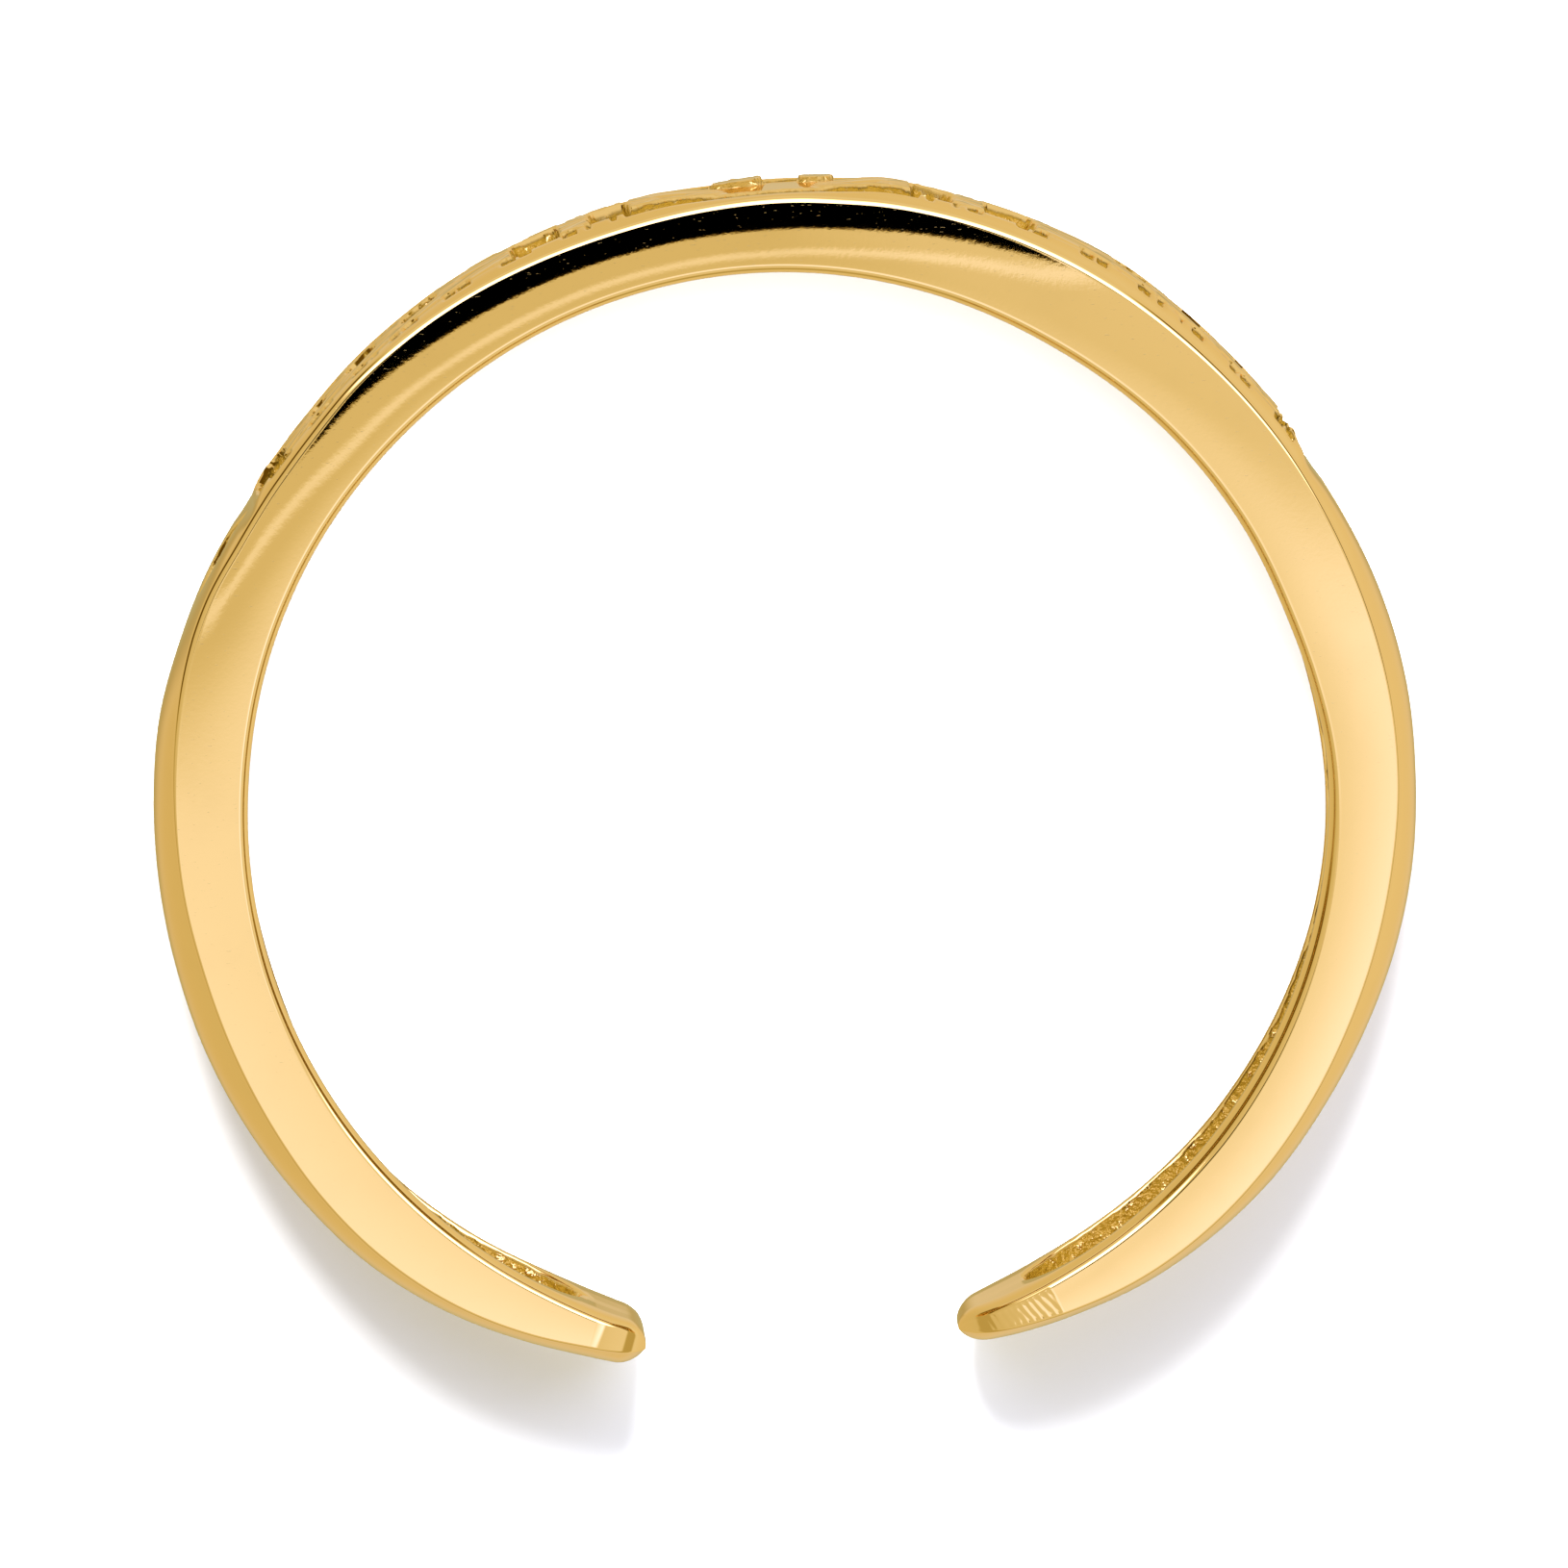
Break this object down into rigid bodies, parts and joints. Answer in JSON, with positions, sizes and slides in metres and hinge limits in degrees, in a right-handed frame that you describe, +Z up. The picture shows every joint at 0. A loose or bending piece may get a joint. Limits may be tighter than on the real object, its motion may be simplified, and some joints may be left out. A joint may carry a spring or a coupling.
{
  "type": "toe ring",
  "caption": "Open toe ring: a domed metal band with a leaf garland in relief across the top, a hollowed back and rounded ends that spring apart.",
  "frame": {"origin": "on the axis of the toe hole, in the plane of the side face that the ring lies on", "axes": "+Z up, along the axis of the toe hole; +Y towards the middle of the garland; -Y towards the gap between the ends; +X completes a right-handed frame"},
  "size_m": [0.0172, 0.0161, 0.003],
  "materials": {
    "gold": "polished"
  },
  "bodies": {
    "root": {"band": "gold"}
  },
  "joints": []
}
